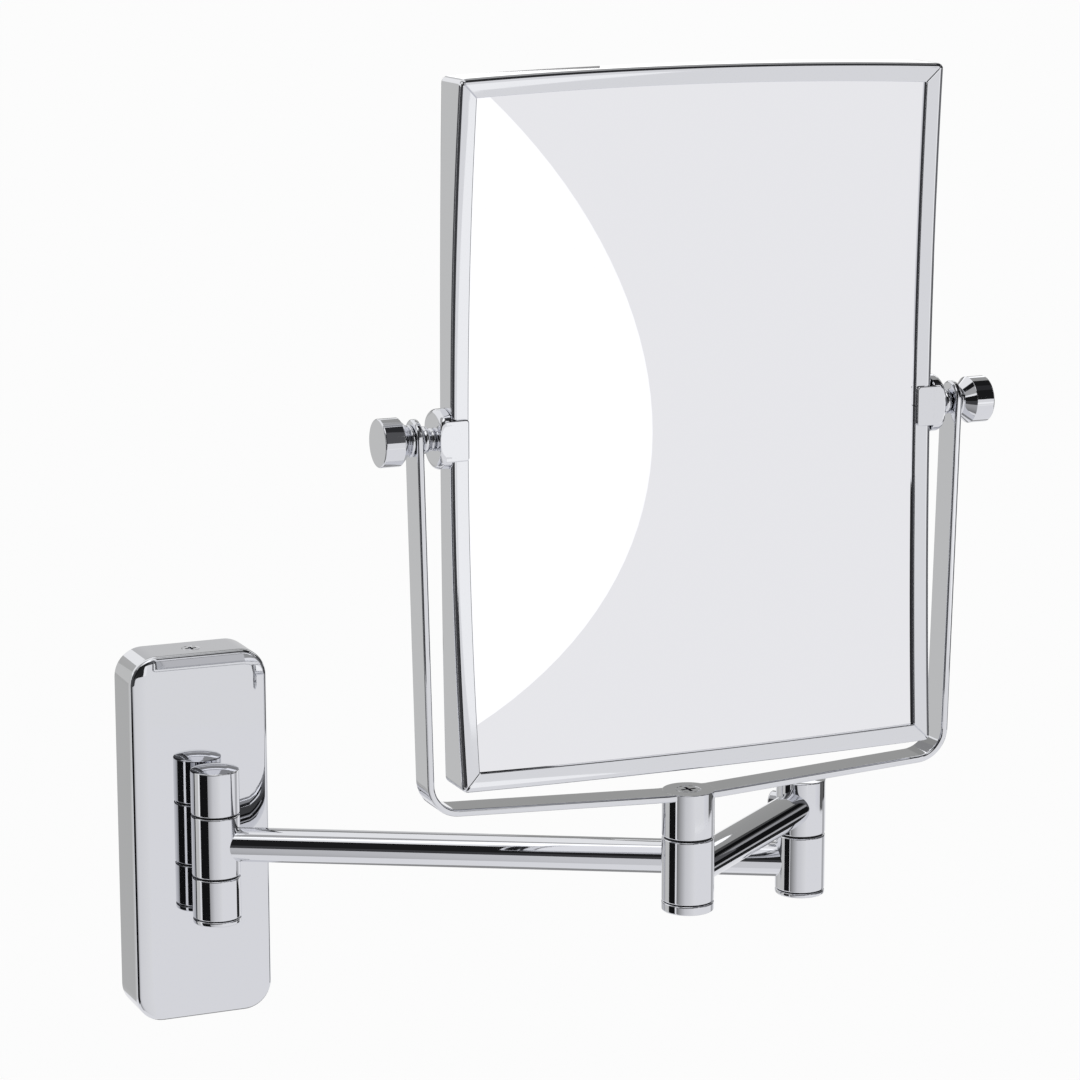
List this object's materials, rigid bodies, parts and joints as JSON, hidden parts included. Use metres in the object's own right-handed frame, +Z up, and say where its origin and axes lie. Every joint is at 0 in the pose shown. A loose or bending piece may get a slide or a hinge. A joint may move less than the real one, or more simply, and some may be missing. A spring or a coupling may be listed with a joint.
{
  "type": "wall-mounted makeup mirror",
  "caption": "Rectangular double-sided makeup mirror with a magnifying and a plain side, tilting in a yoke on a folding chrome swing arm with a wall plate.",
  "frame": {"origin": "middle of the wall plate's back face, on the wall", "axes": "+X to the right along the wall, +Y into the wall, +Z up; the mirror stands out along -Y"},
  "size_m": [0.2405, 0.1933, 0.3437],
  "materials": {
    "chrome": "polished chrome plating",
    "steel": "turned steel",
    "nylon": "moulded black nylon",
    "mirror_glass": "silvered mirror glass",
    "backing_pad": "grey felt board",
    "bracket_steel": "zinc-plated sheet steel"
  },
  "bodies": {
    "wall_mount": {"wall_bracket": "bracket_steel", "cover_plate": "chrome", "cover_screw": "chrome", "upper_knuckle": "chrome", "lower_knuckle": "chrome", "knuckle_screws": "steel", "wall_hinge_pin": "steel", "wall_hinge_cap": "chrome"},
    "inner_arm": {"inner_wall_barrel": "chrome", "inner_arm_tube": "chrome", "inner_elbow_barrel": "chrome", "wall_hinge_washers": "nylon", "wall_hinge_bush": "nylon", "elbow_bush": "nylon"},
    "outer_arm": {"outer_elbow_barrel": "chrome", "outer_arm_tube": "chrome", "outer_post_barrel": "chrome", "elbow_pin": "steel", "elbow_cap": "chrome", "elbow_washer": "nylon", "elbow_screw": "chrome", "post_bush": "nylon"},
    "yoke": {"yoke": "chrome", "swivel_post": "chrome", "swivel_pin": "steel", "post_cap": "chrome", "post_washer": "nylon", "yoke_screw": "chrome"},
    "mirror_head": {"frame_upper_half": "chrome", "frame_lower_half": "chrome", "magnifying_glass": "mirror_glass", "plain_glass": "mirror_glass", "backing_pad": "backing_pad", "left_lug": "chrome", "right_lug": "chrome", "left_collar": "chrome", "right_collar": "chrome"},
    "left_knob": {"left_knob": "chrome", "left_stud": "steel", "left_knob_washer": "chrome"},
    "right_knob": {"right_knob": "chrome", "right_stud": "steel", "right_knob_washer": "chrome"}
  },
  "joints": [
    {"name": "wall_hinge", "type": "hinge", "parent": "wall_mount", "child": "inner_arm", "pos_m": [0.0016, -0.029, 0], "axis": [0, 0, 1], "range_deg": [-151.3, 28.7]},
    {"name": "elbow_hinge", "type": "hinge", "parent": "inner_arm", "child": "outer_arm", "pos_m": [0.17984, -0.12658, 0.0196], "axis": [0, 0, 1], "continuous": true},
    {"name": "yoke_swivel", "type": "hinge", "parent": "outer_arm", "child": "yoke", "pos_m": [0.11055, -0.18229, 0.04455], "axis": [0, 0, 1], "continuous": true},
    {"name": "mirror_tilt", "type": "hinge", "parent": "yoke", "child": "mirror_head", "pos_m": [0.11055, -0.18229, 0.1665], "axis": [1, 0, 0], "continuous": true},
    {"name": "left_knob_turn", "type": "hinge", "parent": "mirror_head", "child": "left_knob", "pos_m": [0.01055, -0.18229, 0.1665], "axis": [-1, 0, 0], "range_deg": [0, 360]},
    {"name": "right_knob_turn", "type": "hinge", "parent": "mirror_head", "child": "right_knob", "pos_m": [0.21055, -0.18229, 0.1665], "axis": [1, 0, 0], "range_deg": [0, 360]}
  ]
}
